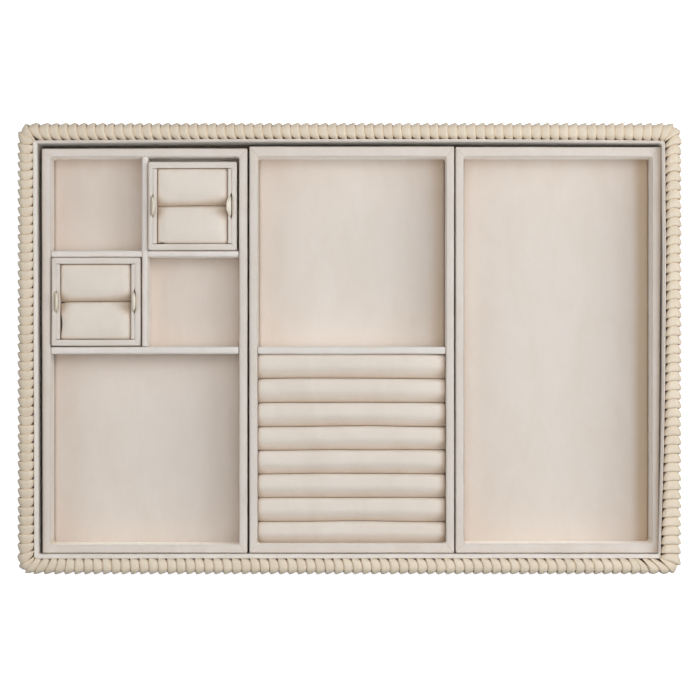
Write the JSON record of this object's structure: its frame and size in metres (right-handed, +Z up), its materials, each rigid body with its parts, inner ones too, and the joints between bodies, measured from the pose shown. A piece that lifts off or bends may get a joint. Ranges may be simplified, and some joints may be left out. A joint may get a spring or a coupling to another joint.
{
  "type": "jewellery tray case",
  "caption": "Open rectangular jewellery case with a cord-wound rim, suede lift-out trays, padded ring rolls and small ring boxes with leather pull tabs.",
  "frame": {"origin": "centre of the case's underside", "axes": "+X along the long side towards the largest tray, +Y towards the back, where the small cells are, +Z up"},
  "size_m": [0.431, 0.294, 0.0526],
  "materials": {
    "cord_leather": "smooth waxed leather cord, soft gloss",
    "wall_leather": "fine-grained leather, soft gloss",
    "tab_leather": "smooth leather, soft gloss",
    "suede": "matt microsuede over board",
    "floor_suede": "matt microsuede over board",
    "roll_suede": "matt microsuede over foam",
    "board": "bare fibreboard",
    "felt": "felt"
  },
  "bodies": {
    "case": {"base_felt": "felt", "base_board": "floor_suede", "case_wall_back": "board", "case_wall_left": "board", "case_wall_front": "board", "case_wall_right": "board", "leather_cladding": "wall_leather", "case_lining_back": "suede", "case_lining_left": "suede", "case_lining_front": "suede", "case_lining_right": "suede", "rim_winding_back": "cord_leather", "rim_winding_left": "cord_leather", "rim_winding_front": "cord_leather", "rim_winding_right": "cord_leather", "rim_core": "board"},
    "left_tray": {"left_tray_wall_back": "suede", "left_tray_wall_left": "suede", "left_tray_wall_front": "suede", "left_tray_wall_right": "suede", "left_tray_base": "suede", "left_tray_floor_pad": "floor_suede", "left_tray_divider": "suede", "cell_divider_cross": "suede", "cell_divider_long": "suede"},
    "middle_tray": {"middle_tray_wall_back": "suede", "middle_tray_wall_left": "suede", "middle_tray_wall_front": "suede", "middle_tray_wall_right": "suede", "middle_tray_base": "suede", "middle_tray_floor_pad": "floor_suede", "middle_tray_divider": "suede", "ring_roll_1": "roll_suede", "ring_roll_2": "roll_suede", "ring_roll_3": "roll_suede", "ring_roll_4": "roll_suede", "ring_roll_5": "roll_suede", "ring_roll_6": "roll_suede", "ring_roll_7": "roll_suede", "ring_roll_8": "roll_suede"},
    "right_tray": {"right_tray_wall_back": "suede", "right_tray_wall_left": "suede", "right_tray_wall_front": "suede", "right_tray_wall_right": "suede", "right_tray_base": "suede", "right_tray_floor_pad": "floor_suede"},
    "rear_ring_box": {"rear_box_shell": "suede", "rear_box_liner_left": "suede", "rear_box_liner_right": "suede", "rear_ring_pad_front": "roll_suede", "rear_ring_pad_back": "roll_suede"},
    "front_ring_box": {"front_box_shell": "suede", "front_box_liner_left": "suede", "front_box_liner_right": "suede", "front_ring_pad_front": "roll_suede", "front_ring_pad_back": "roll_suede"},
    "rear_left_tab": {"rear_tab_left": "tab_leather"},
    "rear_right_tab": {"rear_tab_right": "tab_leather"},
    "front_left_tab": {"front_tab_left": "tab_leather"},
    "front_right_tab": {"front_tab_right": "tab_leather"}
  },
  "joints": [
    {"name": "left_tray_lift", "type": "slide", "parent": "case", "child": "left_tray", "axis": [0, 0, 1], "range_m": [0, 0.05]},
    {"name": "middle_tray_lift", "type": "slide", "parent": "case", "child": "middle_tray", "axis": [0, 0, 1], "range_m": [0, 0.05]},
    {"name": "right_tray_lift", "type": "slide", "parent": "case", "child": "right_tray", "axis": [0, 0, 1], "range_m": [0, 0.05]},
    {"name": "rear_ring_box_lift", "type": "slide", "parent": "left_tray", "child": "rear_ring_box", "axis": [0, 0, 1], "range_m": [0, 0.045]},
    {"name": "front_ring_box_lift", "type": "slide", "parent": "left_tray", "child": "front_ring_box", "axis": [0, 0, 1], "range_m": [0, 0.045]},
    {"name": "rear_tab_left_bend", "type": "hinge", "parent": "rear_ring_box", "child": "rear_left_tab", "pos_m": [-0.12855, 0.0929, 0.0461], "axis": [0, 1, 0], "range_deg": [-40, 56], "stiffness_Nm_per_rad": 0.002},
    {"name": "rear_tab_right_bend", "type": "hinge", "parent": "rear_ring_box", "child": "rear_right_tab", "pos_m": [-0.07765, 0.0929, 0.0461], "axis": [0, 1, 0], "range_deg": [-30, 66], "stiffness_Nm_per_rad": 0.002},
    {"name": "front_tab_left_bend", "type": "hinge", "parent": "front_ring_box", "child": "front_left_tab", "pos_m": [-0.19165, 0.0305, 0.0461], "axis": [0, 1, 0], "range_deg": [-45, 51], "stiffness_Nm_per_rad": 0.002},
    {"name": "front_tab_right_bend", "type": "hinge", "parent": "front_ring_box", "child": "front_right_tab", "pos_m": [-0.14075, 0.0305, 0.0461], "axis": [0, 1, 0], "range_deg": [-35, 61], "stiffness_Nm_per_rad": 0.002}
  ]
}
